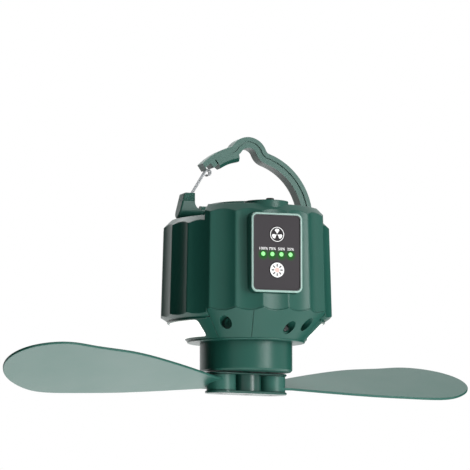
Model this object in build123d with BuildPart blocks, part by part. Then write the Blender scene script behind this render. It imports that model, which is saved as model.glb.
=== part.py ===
from build123d import *
import os
from math import acos, asin, cos, degrees, radians, sin, sqrt

# Hanging camping fan: a fluted drum with a folding carabiner handle on top,
# lamp windows in the cone below it, and a hub with two folding paddle blades.
# Millimetres. Front (control panel) is -Y, the blades lie along X, +Z is up.
# The origin is the hook seat inside the hump of the handle.

# ---------------------------------------------------------------- sizes
# Heights, stacked from the underside of the hub to the hook seat
hub_height = 15.4
spin_gap = 0.8
neck_height = 21.2
flange_thickness = 1.3
cone_height = 14.6
drum_height = 67.7          # bottom edge of the drum to the corner of its low rim
rim_chamfer = 5.8           # rise and run of the low rim's chamfer
front_rise = 7.0            # the front wall stands this far above the low rim's corner
front_bevel = 6.5           # rise and run of the bevel over the front wall

# Drum
drum_radius_low = 63.4      # over the ridges, at the bottom
drum_taper = 2.1            # the front wall's top is this much narrower
flute_count = 20
flute_depth = 2.0
ridge_round = 2.0
wall_low = 5.4              # over the ridges, to the cavity
wall_high = 5.3
deck_thickness = 2.5
front_half_angle = 50.0     # the raised front block reaches this far each side
pocket_half_angle = 45.0

# Cone and its covers (45 degree slope)
skirt_step = 5.8            # the cone meets the drum's skirt this far in from the ridges
cone_run = 14.2             # from there to the cone's bottom edge
cover_half_angle = 47.0
cover_split_angle = 15.0    # the parting line between the two front covers
cover_thickness = 2.2
cover_lip = 0.6             # thin outer edge of a cover, over the drum wall
carrier_thickness = 2.0
window_half_angle = 31.0
window_corner = 2.5
window_sill = 1.4
window_head = 1.2
cable_hole = 9.0            # through the cone's floor
lens_thickness = 1.8
lamp_depth = 9.5            # level depth of the lamp tray behind the cone's face
tray_wall = 1.0
strip_lamps = 7
seam = 0.25                 # gap along the covers' and lenses' edges
seam_angle = 0.15
recess_radius = 4.4
recess_depth = 9.0          # level, from the cone's face at the recess's middle
recess_step = 4.0           # their middles are this far in from the skirt
boss_wall = 0.9
screw_recess_angles = (-36.0, 35.0)
rear_screw_angles = (-36.0, 36.0)
receiver_angle = 18.0
receiver_step = 6.9
receiver_depth = 5.5
receiver_radius = 2.6
boss_length = 5.0
screw_radius = 1.2
screw_head_radius = 3.0
screw_head_height = 1.7

# Flange and neck
flange_step = 0.2           # the flange's edge is this far in from the cone's
flange_bore = 26.0
neck_radius = 33.9
neck_wall = 2.2
neck_chamfer = 1.2
drain_radius = 0.9
drain_x = -14.0

# Handle
handle_depth = 12.0
handle_band = 8.0
arch_radius = 46.0          # centre line of the arch on the nose's side, round the pivot
right_radius = 46.3         # and on the other side
right_drop = 3.5            # whose centre lies this far below the pivot
hump_radius = 10.5          # centre line of the hump
hump_rise = 41.5            # hump centre above the pivot
hump_blend = 8.0            # centre-line radius between arch and hump
nose_angle = 56.0           # end of the arch, from straight up, before the nose is cut
nose_end = ((-35.7, 34.5), (-31.4, 28.3))   # the slanting cut that ends the nose
shoulder_radius = 38.4      # the arch is thicker inwards between the hump and the slit
shoulder_start = 10.0       # degrees from straight up
shoulder_chamfer = 2.4
groove_width = 1.5
groove_depth = 0.9
foot_radius = 6.0
bar_radius = 4.0
bar_clearance = 0.08
foot_clearance = 7.5        # the thick feet start this far out from the cap
horn_outer = 53.0
horn_width = 11.2
horn_taper = 3.2            # its outer face leans in towards the top
horn_rise = 12.8            # horn top above the pivot
horn_neck = 6.5             # straight part of the horn's inner face
horn_round = 1.2            # of the horn's outer edges
horn_heel = 0.8             # where that face runs into the foot, above the pivot
deck_gap = 0.4              # folded handle over the deck
groove_start = 3.2          # above the pivot
nose_relief = 44.4          # inner radius of the thinned nose
notch_angles = (40.2, 47.2)
notch_radius = 46.2
slit_angle = 34.4
slit_width = 0.9

# Wire gate
wire_radius = 0.6
gate_spread = 4.0           # between the two legs
gate_foot = (-45.3, 8.2)    # its pivot, from the handle's pivot
gate_lean = 31.6            # from straight up, towards the nose
gate_length = 25.5
curl_radius = 2.0
curl_turn = 260.0
gate_open = 20.0
gate_clearance = 0.3
gate_pin_clearance = 0.05
gate_pin_length = 4.4       # each bent end, from the middle

# Central cap
cap_radius = 28.5
cap_height = 6.2            # above the pivot
cap_face_radius = 26.3
cap_face_depth = 1.0
cap_edge_round = 2.0
cap_screw_offset = 18.0

# Charging port
boss_radius = 16.0
boss_inset = 19.3           # its middle, in from the front wall's top
boss_height = 2.4           # above the raised front
plug_radius = 7.8
plug_shift = 3.0            # the plug's middle, forward of the boss's
plug_thickness = 1.8
plug_tab_radius = 2.9
plug_tab_shift = 5.0        # and the tab's, forward of the plug's
plug_tab_height = 1.9
port_width = 9.0
port_height = 3.4
port_depth = 7.4
port_shell = 0.4
plug_tongue = 2.2
port_board_width = 15.0
port_board_length = 13.0

# Control panel
panel_width = 39.0
panel_height = 57.2
panel_corner = 4.5
panel_proud = 1.0           # the panel's front stands out from the lower ridges
panel_depth = 10.4
panel_rim = 2.0
panel_rim_depth = 1.5
panel_ledge = 1.2           # step that the face plate lies on
panel_edge_round = 0.8
panel_top_drop = 1.3        # below the front wall's top
face_thickness = 1.0
fit_gap = 0.1
button_radius = 5.6
button_gap = 0.2
button_proud = 0.5
button_travel = 0.6
button_play = 0.2
button_flange = 0.8
button_stem = 0.5
switch_room = 4.8           # from the face plate to the board behind it
switch_body = 2.2
fan_button_up = 13.0        # from the panel's centre
light_button_up = -12.6
lamp_row_up = -1.2
lamp_spacing = 6.93
lamp_radius = 1.5
board_thickness = 1.6

# Blades
blade_thickness = 1.8
blade_pitch = 18.0
blade_rise = 2.5            # degrees that each blade climbs towards its tip
blade_drop = 0.8            # its root's middle below the middle of the hub's gap
blade_root_station = 32.0   # the narrow root, from the hub's axis
blade_root_half = 10.5
blade_wide_station = 156.0  # the widest part
blade_half_high = 43.2      # half chord there, on the high side
blade_half_low = 42.3       # and on the low side
blade_tip_radius = 207.0
blade_tip_skew = 14.0       # the tip leans this far to the high side
blade_edge_round = 0.5
outline_steps = 4           # stations along each side
tip_steps = 8

# Hub
hub_turn = 14.5             # the hub stands turned this far about its axis at rest
hub_end_radius = 11.8
hub_bottom_thickness = 2.0
hub_top_thickness = 1.4
hub_edge_round = 1.0
barrel_radius = 10.7
post_radius = 10.9
barrel_gap = 0.3
pin_spacing = 22.0          # blade pin from the axis
pin_radius = 3.0
pin_clearance = 0.06
pin_head_radius = 4.6
pin_head_depth = 1.2
pin_head_height = 1.1
pin_tip_radius = 2.2
hub_screw_radius = 1.2
hub_screw_length = 9.0

# Motor
shaft_radius = 2.5
bearing_radius = 5.0
bearing_height = 4.0
tube_radius = 7.0
stator_radius = 20.0
stator_teeth = 9
stator_height = 6.4
tooth_width = 3.2
coil_wrap = 1.3
coil_length = 6.2
coil_overhang = 0.9
magnet_count = 12
rotor_radius = 24.6
rotor_wall = 1.2
magnet_thickness = 1.8

# Battery and boards
cell_radius = 9.2
cell_height = 65.0
cell_spacing = 19.4
cells_inset = 39.0          # their middle, in from the cavity's upper rear
battery_post_radius = 3.0
post_spacing = 29.0
holder_plate = 3.0
holder_pocket = 1.5
standoff_length = 4.0
main_board_width = 56.0
main_board_height = 70.0

# ---------------------------------------------------------------- sizes that follow
drum_radius_high = drum_radius_low - drum_taper
cavity_radius_low = drum_radius_low - wall_low
cavity_radius_high = drum_radius_high - wall_high
skirt_radius = drum_radius_low - skirt_step
cone_radius_low = skirt_radius - cone_run
recess_station = skirt_radius - recess_step
receiver_station = skirt_radius - receiver_step
flange_radius = cone_radius_low - flange_step
foot_inner = cap_radius + foot_clearance
boss_offset = drum_radius_high - boss_inset
plug_offset = boss_offset + plug_shift
plug_tab_offset = plug_offset + plug_tab_shift
panel_face_offset = drum_radius_low + panel_proud
cells_centre_y = cavity_radius_high - cells_inset

# ---------------------------------------------------------------- levels
cone_bottom = hub_height + spin_gap + neck_height + flange_thickness
drum_bottom = cone_bottom + cone_height
rim_corner = drum_bottom + drum_height
deck_height = rim_corner + rim_chamfer
front_wall_top = rim_corner + front_rise
front_top = front_wall_top + front_bevel
pivot_height = deck_height + deck_gap + foot_radius
seat_height = pivot_height + hump_rise + hump_radius - handle_band / 2
base = -seat_height                       # underside of the hub

z_hub_top = base + hub_height
z_neck = z_hub_top + spin_gap
z_flange = z_neck + neck_height
z_cone = base + cone_bottom
z_drum = base + drum_bottom
z_deck = base + deck_height
z_wall_top = base + front_wall_top
z_front = base + front_top
z_pivot = base + pivot_height
z_cap = z_pivot + cap_height
z_boss = z_front + boss_height
z_panel = z_wall_top - panel_top_drop - panel_height / 2
z_holder = z_drum + 1.0                           # underside of the battery holder

flute_angle = 360 / flute_count
handle_plane = Plane((0, 0, z_pivot), x_dir=(1, 0, 0), z_dir=(0, -1, 0))
section_plane = Plane.XZ                          # sketch (radius, z)
reach = 100.0                                     # longer than any cut needs


def at_front(degrees_round):
    """Angle about Z of a direction so many degrees round from the front."""
    return degrees_round - 90


def fluted(radius):
    """Closed outline of shallow concave flutes, the first centred on the front."""
    with BuildSketch(mode=Mode.PRIVATE) as outline:
        with BuildLine():
            for i in range(flute_count):
                start = at_front((i - 0.5) * flute_angle)
                ends = [Vector(radius, 0).rotate(Axis.Z, start + k * flute_angle) for k in (0, 1)]
                middle = Vector(radius - flute_depth, 0).rotate(Axis.Z, start + flute_angle / 2)
                ThreePointArc(ends[0], middle, ends[1])
        make_face()
        fillet(outline.vertices(), ridge_round)
    return outline.sketch


def sector(points, centre, half_angle):
    """Solid swept from a closed (radius, z) outline, half_angle each side of centre."""
    start = at_front(centre - half_angle)
    with BuildPart(mode=Mode.PRIVATE) as swept:
        with BuildSketch(Plane.XZ.rotated((0, 0, start))):
            with BuildLine():
                Polyline(*points, close=True)
            make_face()
        revolve(axis=Axis.Z, revolution_arc=2 * half_angle)
    return swept.part


def cone_z(radius, inset=0.0):
    """Height of the 45 degree cone at a radius; inset is measured square to it."""
    return z_cone + radius - cone_radius_low + inset * sqrt(2)


def cone_plane(angle, radius):
    """Plane on the cone's surface, facing out, at an angle round from the front."""
    a = radians(at_front(angle))
    origin = (radius * cos(a), radius * sin(a), cone_z(radius))
    return Plane(origin, x_dir=(-sin(a), cos(a), 0), z_dir=(cos(a), sin(a), -1))


def recess_plane(angle, radius, depth):
    """Upright plane facing out from the axis, so deep behind the cone's face at a radius."""
    a = radians(at_front(angle))
    out = Vector(cos(a), sin(a), 0)
    return Plane(out * (radius - depth) + Vector(0, 0, cone_z(radius)), x_dir=(-sin(a), cos(a), 0),
                 z_dir=out)


def fluted_block(low, high):
    """The drum's outer shape between two heights, with its draft."""
    slope = (drum_radius_high - drum_radius_low) / (z_wall_top - z_drum)
    with BuildPart(mode=Mode.PRIVATE) as block:
        for z in (low, high):
            with BuildSketch(Plane.XY.offset(z)):
                add(fluted(drum_radius_low + slope * (z - z_drum)))
        loft(ruled=True)
    return block.part


os.makedirs("parts", exist_ok=True)


def keep(name, part):
    part.label = name
    export_step(part, f"parts/{name}.step")


# ---------------------------------------------------------------- drum
skirt_z = cone_z(skirt_radius)

with BuildPart() as drum_shell:
    add(fluted_block(skirt_z - 1, z_boss))
    # Bevel over the raised front, then the low rim round the rest
    with BuildSketch(section_plane):
        with BuildLine():
            inner = drum_radius_high - front_bevel
            Polyline((inner, z_front), (inner + reach, z_front - reach), (inner + reach, z_boss + 1),
                     (0, z_boss + 1), (0, z_front), close=True)
        make_face()
    revolve(axis=Axis.Z, mode=Mode.SUBTRACT)
    low_inner = drum_radius_high - rim_chamfer
    low_points = [(cap_radius, z_deck), (low_inner, z_deck), (low_inner + reach, z_deck - reach),
                  (low_inner + reach, z_front + 1), (cap_radius, z_front + 1)]
    add(sector(low_points, 180, 180 - front_half_angle), mode=Mode.SUBTRACT)
    # Seat of the central cap, and the boss of the charging port
    with BuildSketch(Plane.XY.offset(z_pivot)):
        Circle(cap_radius + fit_gap)
    extrude(amount=reach, mode=Mode.SUBTRACT)
    with BuildSketch(Plane.XY.offset(z_deck)):
        with Locations((0, -boss_offset)):
            Circle(boss_radius)
        with Locations((0, 0)):
            Circle(cap_radius + fit_gap, mode=Mode.SUBTRACT)
    extrude(amount=z_boss - z_deck)
    # Underside: skirt at the sides, cone under the covers
    skirt_points = [(0, skirt_z - reach), (0, skirt_z), (skirt_radius, skirt_z),
                    (drum_radius_low + 2, skirt_z + (drum_radius_low + 2 - skirt_radius) * 0.68),
                    (drum_radius_low + 2, skirt_z - reach)]
    add(sector(skirt_points, 0, 180), mode=Mode.SUBTRACT)
    cover_cut = [(0, skirt_z - reach), (0, cone_z(skirt_radius, cover_lip) + seam),
                 (skirt_radius, cone_z(skirt_radius, cover_lip) + seam),
                 (reach, cone_z(reach, cover_lip) + seam), (reach, skirt_z - reach)]
    for side in (0, 180):
        add(sector(cover_cut, side, cover_half_angle + 0.3), mode=Mode.SUBTRACT)
    # Cavity, with the pocket under the raised front
    ceiling = z_deck - deck_thickness
    with BuildSketch(section_plane):
        with BuildLine():
            Polyline((0, skirt_z - 2), (cavity_radius_low, skirt_z - 2),
                     (cavity_radius_high, ceiling - 4), (cavity_radius_high - 4, ceiling),
                     (0, ceiling), close=True)
        make_face()
    revolve(axis=Axis.Z, mode=Mode.SUBTRACT)
    pocket_top = z_front - deck_thickness
    pocket_outer = drum_radius_high - front_bevel - deck_thickness
    pocket = [(cap_radius + deck_thickness, ceiling - 1), (pocket_outer, ceiling - 1),
              (pocket_outer, pocket_top), (cap_radius + deck_thickness, pocket_top)]
    add(sector(pocket, 0, pocket_half_angle), mode=Mode.SUBTRACT)
    # Trough for the handle's bar, and screw holes up into the cap
    with BuildSketch(Plane.YZ.offset(-cap_radius - 1)):
        with Locations((0, z_pivot)):
            Circle(bar_radius + bar_clearance)
    extrude(amount=2 * cap_radius + 2, mode=Mode.SUBTRACT)
    with BuildSketch(Plane.XY.offset(ceiling - 1)):
        with Locations((0, cap_screw_offset), (0, -cap_screw_offset)):
            Circle(screw_radius + 0.2)
    extrude(amount=reach, mode=Mode.SUBTRACT)
    # Seat of the port's plug, the port itself and the panel's opening
    with BuildSketch(Plane.XY.offset(z_boss - plug_thickness)):
        with Locations((0, -plug_offset)):
            Circle(plug_radius + 0.15)
    extrude(amount=reach, mode=Mode.SUBTRACT)
    with BuildSketch(Plane.XY.offset(pocket_top - 1)):
        with Locations((0, -plug_offset)):
            SlotOverall(port_width + 0.2, port_height + 0.2)
    extrude(amount=reach, mode=Mode.SUBTRACT)
    with BuildSketch(Plane.XZ.offset(cavity_radius_high - 6)):
        with Locations((0, z_panel)):
            RectangleRounded(panel_width + 2 * fit_gap, panel_height + 2 * fit_gap,
                             panel_corner + fit_gap)
    extrude(amount=reach, mode=Mode.SUBTRACT)
keep("drum_shell", drum_shell.part)

# ---------------------------------------------------------------- cone
skin = cover_thickness * sqrt(2)                  # cover thickness measured level
wall = (cover_thickness + carrier_thickness) * sqrt(2)
housing_top = skirt_z - fit_gap
window_low = z_cone + window_sill
window_high = housing_top - window_head


def level_band(low, high, outset, depth):
    """Outline between two heights, outset from the cone's face, depth measured level."""
    r_low, r_high = (cone_radius_low + z - z_cone + outset for z in (low, high))
    return [(r_low, low), (r_high, high), (r_high - depth, high), (r_low - depth, low)]


def level_lines(band):
    """The straight level edges at the four corners of a band on the cone."""
    return band.edges().filter_by(GeomType.LINE).filter_by(lambda e: abs(e.tangent_at(0).Z) < 0.01)


recesses = [(angle, recess_station, recess_depth) for angle in screw_recess_angles]
rear_recesses = [(180 + angle, recess_station, recess_depth) for angle in rear_screw_angles]
receiver_place = (receiver_angle, receiver_station, receiver_depth)
places = recesses + rear_recesses + [receiver_place]

with BuildPart() as cone_housing:
    add(sector([(cone_radius_low, z_cone), (skirt_radius, housing_top), (skirt_radius - wall, housing_top),
                (cone_radius_low - wall + 2, z_cone + 2), (cable_hole, z_cone + 2),
                (cable_hole, z_cone)], 0, 180))
    # Level bosses round the screw recesses and the receiver's, cut off under the covers
    for angle, station, depth in places:
        with BuildSketch(recess_plane(angle, station, depth + boss_length)):
            Circle(recess_radius + boss_wall)
        extrude(amount=depth + boss_length)
    for side in (0, 180):
        add(sector(level_band(z_cone - 3, housing_top + 3, 12, skin + 12), side,
                   cover_half_angle + seam_angle), mode=Mode.SUBTRACT)
    for angle, station, depth in places:
        with BuildSketch(recess_plane(angle, station, depth)):
            Circle(recess_radius)
        extrude(amount=depth + 12, mode=Mode.SUBTRACT)
        with BuildSketch(recess_plane(angle, station, depth + boss_length)):
            Circle(screw_radius)
        extrude(amount=boss_length, mode=Mode.SUBTRACT)
    for side in (90, 270):
        with BuildPart(mode=Mode.PRIVATE) as opening:
            add(sector(level_band(window_low, window_high, 6, 6 + lamp_depth + 1.5), side,
                       window_half_angle))
            fillet(level_lines(opening), window_corner)
        add(opening.part, mode=Mode.SUBTRACT)
        # Spigot that centres the drum's wall
        spigot = [(cavity_radius_low - 3, housing_top - 1), (cavity_radius_low - 0.25, housing_top - 1),
                  (cavity_radius_low - 0.25, housing_top + 4), (cavity_radius_low - 3, housing_top + 4)]
        add(sector(spigot, side, 90 - cover_half_angle - 3))
    # Posts under the battery
    with BuildSketch(Plane.XY.offset(z_cone + 1)):
        with Locations((0, cells_centre_y)):
            with GridLocations(post_spacing, post_spacing, 2, 2):
                Circle(battery_post_radius)
    extrude(amount=z_holder - z_cone - 1)
keep("cone_housing", cone_housing.part)


def cone_cover(low_angle, high_angle, holes):
    """A cover on the cone between two angles round from the front."""
    shoulder = skirt_radius - skin
    rim_radius = drum_radius_low + 4
    thin = cone_z(skirt_radius, cover_lip)
    points = [(cone_radius_low, z_cone), (rim_radius, cone_z(rim_radius)),
              (rim_radius, cone_z(rim_radius, cover_lip)), (skirt_radius, thin), (shoulder, thin),
              (shoulder, cone_z(shoulder, cover_thickness - 0.05)),
              (cone_radius_low - skin + 0.07, z_cone)]
    middle, half = (low_angle + high_angle) / 2, (high_angle - low_angle) / 2 - seam_angle
    with BuildPart() as cover:
        add(sector(points, middle, half))
        add(fluted_block(z_cone - 1, z_drum + 12), mode=Mode.INTERSECT)
        for angle, station, depth in holes:
            with BuildSketch(recess_plane(angle, station, depth)):
                Circle(recess_radius)
            extrude(amount=depth + 12, mode=Mode.SUBTRACT)
    return cover.part


keep("left_cone_cover", cone_cover(-cover_half_angle, -cover_split_angle, recesses[:1]))
keep("right_cone_cover", cone_cover(-cover_split_angle, cover_half_angle, recesses[1:] + [receiver_place]))
keep("rear_cone_cover", cone_cover(180 - cover_half_angle, 180 + cover_half_angle, rear_recesses))

with BuildPart() as cover_screws:
    for place in recesses + rear_recesses:
        seat = recess_plane(*place)
        with BuildSketch(seat):
            Circle(screw_head_radius)
        extrude(amount=screw_head_height)
        with BuildSketch(seat):
            Circle(screw_radius - 0.05)
        extrude(amount=-boss_length + 0.5)
        with BuildSketch(seat.offset(screw_head_height)):
            Rectangle(3.6, 0.8)
            Rectangle(0.8, 3.6)
        extrude(amount=-0.9, mode=Mode.SUBTRACT)
keep("cover_screws", cover_screws.part)

with BuildPart() as remote_receiver:
    seat = recess_plane(*receiver_place)
    with BuildSketch(seat):
        Circle(receiver_radius)
    extrude(amount=1.0)
    with BuildSketch(seat.offset(1.0)):
        Circle(receiver_radius)
    extrude(amount=0.9, taper=35)
    with BuildSketch(seat):
        Circle(screw_radius - 0.05)
    extrude(amount=-boss_length + 0.5)
keep("remote_receiver", remote_receiver.part)

lens_low, lens_high = window_low + seam, window_high - seam
for name, side in (("right", 90), ("left", 270)):
    half = window_half_angle - 2 * seam_angle
    with BuildPart() as lens:
        add(sector(level_band(lens_low, lens_high, 0, lens_thickness * sqrt(2)), side, half))
        fillet(level_lines(lens), window_corner - seam)
    keep(f"{name}_lamp_lens", lens.part)
    # Tray behind the lens: a floor, a roof and a slanted back, one wall thick
    mouth = lens_thickness * sqrt(2) + fit_gap
    outer = level_band(lens_low, lens_high, -mouth, lamp_depth - mouth)
    inner = level_band(lens_low + tray_wall, lens_high - tray_wall, 1, lamp_depth + 1 - 1.4 * tray_wall)
    with BuildPart() as tray:
        add(sector(outer, side, half - 0.4))
        fillet(level_lines(tray), window_corner)
        add(sector(inner, side, half - 0.4 - 1.4), mode=Mode.SUBTRACT)
    keep(f"{name}_reflector", tray.part)
    middle_low = lens_low + tray_wall + 1.6
    middle_high = lens_high - tray_wall - 1.6
    strip_back = -(lamp_depth - 1.4 * tray_wall)
    with BuildPart() as strip:
        add(sector(level_band(middle_low, middle_high, strip_back + 1.2, 1.1), side, half - 4))
        for i in range(strip_lamps):
            angle = side + (i - (strip_lamps - 1) / 2) * (2 * half - 14) / (strip_lamps - 1)
            mid_z = (middle_low + middle_high) / 2
            radius = cone_radius_low + mid_z + strip_back / 2 - z_cone
            chip = cone_plane(angle, radius).offset((strip_back + 1.2) / sqrt(2) - 0.3)
            with BuildSketch(chip):
                Rectangle(3.0, 3.0)
            extrude(amount=1.1)
    keep(f"{name}_lamp_strip", strip.part)

# ---------------------------------------------------------------- neck
with BuildPart() as flange_ring:
    with BuildSketch(Plane.XY.offset(z_flange)):
        Circle(flange_radius)
        Circle(flange_bore, mode=Mode.SUBTRACT)
    extrude(amount=flange_thickness)
    fillet(flange_ring.edges().filter_by(GeomType.CIRCLE).group_by(SortBy.RADIUS)[-1].group_by(Axis.Z)[0],
           flange_thickness * 0.7)
keep("flange_ring", flange_ring.part)

with BuildPart() as motor_housing:
    with BuildSketch(Plane.XY.offset(z_neck)):
        Circle(neck_radius)
    extrude(amount=neck_height)
    with BuildSketch(Plane.XY.offset(z_neck + neck_wall)):
        Circle(neck_radius - neck_wall)
    extrude(amount=neck_height, mode=Mode.SUBTRACT)
    with BuildSketch(Plane.XY.offset(z_neck)):
        Circle(shaft_radius + 1.5)
    extrude(amount=neck_wall, mode=Mode.SUBTRACT)
    chamfer(motor_housing.edges().filter_by(GeomType.CIRCLE).group_by(Axis.Z)[0]
            .sort_by(SortBy.RADIUS)[-1:], neck_chamfer)
    # Small drain notch in the lower rim, at the front
    with BuildSketch(Plane.XZ.offset(neck_radius - 1.2)):
        with Locations((drain_x, z_neck)):
            Circle(drain_radius)
    extrude(amount=4, mode=Mode.SUBTRACT)
keep("motor_housing", motor_housing.part)

z_plate = z_flange - 2.4                          # underside of the motor's plate
z_tube = z_neck + neck_wall + 4.0
with BuildPart() as motor_plate:
    with BuildSketch(Plane.XY.offset(z_plate)):
        Circle(neck_radius - neck_wall - fit_gap)
    extrude(amount=z_flange - z_plate)
    with BuildSketch(Plane.XY.offset(z_tube)):
        Circle(tube_radius)
    extrude(amount=z_plate - z_tube)
    with BuildSketch(Plane.XY.offset(z_tube)):
        Circle(bearing_radius + 0.02)
    extrude(amount=z_plate - z_tube, mode=Mode.SUBTRACT)
    with BuildSketch(Plane.XY.offset(z_plate)):
        Circle(shaft_radius + 0.5)
    extrude(amount=reach, mode=Mode.SUBTRACT)
    with BuildSketch(Plane.XY.offset(z_plate)):
        with PolarLocations(neck_radius - neck_wall - 5, 4, start_angle=45):
            Circle(2)
    extrude(amount=reach, mode=Mode.SUBTRACT)
keep("motor_plate", motor_plate.part)

z_bearings = (z_tube + 0.4, z_plate - bearing_height - 0.2)
for name, z in zip(("lower_bearing", "upper_bearing"), z_bearings):
    with BuildPart() as bearing:
        with BuildSketch(Plane.XY.offset(z)):
            Circle(bearing_radius)
            Circle(shaft_radius + 0.03, mode=Mode.SUBTRACT)
        extrude(amount=bearing_height)
        for face_z, way in ((z, 1), (z + bearing_height, -1)):
            with BuildSketch(Plane.XY.offset(face_z)):
                Circle(bearing_radius - 0.8)
                Circle(shaft_radius + 0.8, mode=Mode.SUBTRACT)
            extrude(amount=0.3 * way, mode=Mode.SUBTRACT)
    keep(name, bearing.part)

z_stator = z_tube + 1.2
tooth_angle = 360 / stator_teeth
with BuildPart() as stator_core:
    with BuildSketch(Plane.XY.offset(z_stator)):
        Circle(tube_radius + 4)
        with PolarLocations(0, stator_teeth):
            with Locations((stator_radius / 2, 0)):
                Rectangle(stator_radius - 1, tooth_width)
        Circle(stator_radius)
        Circle(stator_radius - 1.6, mode=Mode.SUBTRACT)
        with PolarLocations(0, stator_teeth):
            with Locations((stator_radius / 2, 0)):
                Rectangle(stator_radius - 1, tooth_width)
        Circle(tube_radius + 4)
        with PolarLocations(stator_radius, stator_teeth, start_angle=tooth_angle / 2):
            Rectangle(6, 2.0, mode=Mode.SUBTRACT)
        Circle(tube_radius + 0.03, mode=Mode.SUBTRACT)
    extrude(amount=stator_height)
keep("stator_core", stator_core.part)

with BuildPart() as stator_coils:
    with BuildSketch(Plane.XY.offset(z_stator - coil_overhang)):
        with PolarLocations(0, stator_teeth):
            with Locations((tube_radius + 4.6 + coil_length / 2, 0)):
                Rectangle(coil_length, tooth_width + 2 * coil_wrap)
    extrude(amount=stator_height + 2 * coil_overhang)
    with BuildSketch(Plane.XY.offset(z_stator - 0.05)):
        with PolarLocations(0, stator_teeth):
            with Locations((stator_radius / 2, 0)):
                Rectangle(stator_radius, tooth_width + 0.1)
    extrude(amount=stator_height + 0.1, mode=Mode.SUBTRACT)
keep("stator_coils", stator_coils.part)

z_rotor = z_neck + neck_wall + 1.2
rotor_height = z_plate - 1.0 - z_rotor
with BuildPart() as rotor_cup:
    with BuildSketch(Plane.XY.offset(z_rotor)):
        Circle(rotor_radius)
        Circle(shaft_radius + 0.02, mode=Mode.SUBTRACT)
    extrude(amount=rotor_height)
    with BuildSketch(Plane.XY.offset(z_rotor + rotor_wall)):
        Circle(rotor_radius - rotor_wall)
        Circle(shaft_radius + 2, mode=Mode.SUBTRACT)
    extrude(amount=reach, mode=Mode.SUBTRACT)
    with BuildSketch(Plane.XY.offset(z_tube - 0.5)):
        Circle(rotor_radius - rotor_wall)
    extrude(amount=reach, mode=Mode.SUBTRACT)
    with BuildSketch(Plane.XY.offset(z_rotor)):
        with PolarLocations(rotor_radius * 0.6, 6):
            Circle(3)
    extrude(amount=rotor_wall, mode=Mode.SUBTRACT)
keep("rotor_cup", rotor_cup.part)

with BuildPart() as rotor_magnets:
    with BuildSketch(Plane.XY.offset(z_stator - 0.6)):
        Circle(rotor_radius - rotor_wall - 0.03)
        Circle(rotor_radius - rotor_wall - magnet_thickness, mode=Mode.SUBTRACT)
        with PolarLocations(rotor_radius - 2, magnet_count):
            Rectangle(8, 0.8, mode=Mode.SUBTRACT)
    extrude(amount=stator_height + 1.2)
keep("rotor_magnets", rotor_magnets.part)

# ---------------------------------------------------------------- hub
z_floor = base + hub_bottom_thickness             # top of the bottom plate
z_roof = z_hub_top - hub_top_thickness            # underside of the top plate
z_blade = (z_floor + z_roof) / 2 - blade_drop


def turned(part):
    """The hub's pieces as they stand at rest."""
    return part.rotate(Axis.Z, hub_turn)


with BuildPart() as motor_shaft:
    with BuildSketch(Plane.XY.offset(z_floor)):
        Circle(shaft_radius)
    extrude(amount=z_plate - z_floor + 1.5)
    with BuildSketch(Plane.XY.offset(z_floor)):
        Circle(hub_screw_radius + 0.05)
    extrude(amount=hub_screw_length + 0.5, mode=Mode.SUBTRACT)
keep("motor_shaft", motor_shaft.part)

with BuildPart() as hub_top:
    with BuildSketch(Plane.XY.offset(z_roof)):
        SlotCenterToCenter(2 * pin_spacing, 2 * hub_end_radius)
    extrude(amount=hub_top_thickness)
    chamfer(hub_top.edges().group_by(Axis.Z)[0] + hub_top.edges().group_by(Axis.Z)[-1], 0.4)
    with BuildSketch(Plane.XY.offset(z_roof)):
        Circle(shaft_radius + 0.02)
        with Locations((pin_spacing, 0), (-pin_spacing, 0)):
            Circle(pin_tip_radius + 0.02)
    extrude(amount=hub_top_thickness, mode=Mode.SUBTRACT)
keep("hub_top", turned(hub_top.part))

with BuildPart() as hub_bottom:
    with BuildSketch(Plane.XY.offset(base)):
        SlotCenterToCenter(2 * pin_spacing, 2 * hub_end_radius)
    extrude(amount=hub_bottom_thickness)
    fillet(hub_bottom.edges().group_by(Axis.Z)[0], hub_edge_round)
    fillet(hub_bottom.edges().group_by(Axis.Z)[-1], 0.5)
    with Locations((0, 0, base)):
        with Locations((pin_spacing, 0), (-pin_spacing, 0), (0, 0)):
            Hole(pin_radius + 0.02, depth=hub_bottom_thickness * 4)
    with BuildSketch(Plane.XY.offset(base)):
        with Locations((pin_spacing, 0), (-pin_spacing, 0), (0, 0)):
            Circle(pin_head_radius + 0.15)
    extrude(amount=pin_head_depth, mode=Mode.SUBTRACT)
keep("hub_bottom", turned(hub_bottom.part))

with BuildPart() as hub_post:
    with BuildSketch(Plane.XY.offset(z_floor)):
        Circle(post_radius)
        Circle(shaft_radius + 0.02, mode=Mode.SUBTRACT)
    extrude(amount=z_roof - z_floor)
keep("hub_post", hub_post.part)

with BuildPart() as blade_pins:
    with BuildSketch(Plane.XY.offset(base + pin_head_depth - pin_head_height)):
        with Locations((pin_spacing, 0), (-pin_spacing, 0)):
            Circle(pin_head_radius)
    extrude(amount=pin_head_height)
    with BuildSketch(Plane.XY.offset(base + pin_head_depth)):
        with Locations((pin_spacing, 0), (-pin_spacing, 0)):
            Circle(pin_radius)
    extrude(amount=z_roof - base - pin_head_depth)
    with BuildSketch(Plane.XY.offset(z_roof)):
        with Locations((pin_spacing, 0), (-pin_spacing, 0)):
            Circle(pin_tip_radius)
    extrude(amount=hub_top_thickness - 0.1)
    with BuildSketch(Plane.XY.offset(base + pin_head_depth - pin_head_height)):
        with Locations((pin_spacing, 0), (-pin_spacing, 0)):
            RegularPolygon(1.5, 6)
    extrude(amount=1.4, mode=Mode.SUBTRACT)
keep("blade_pins", turned(blade_pins.part))

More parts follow.
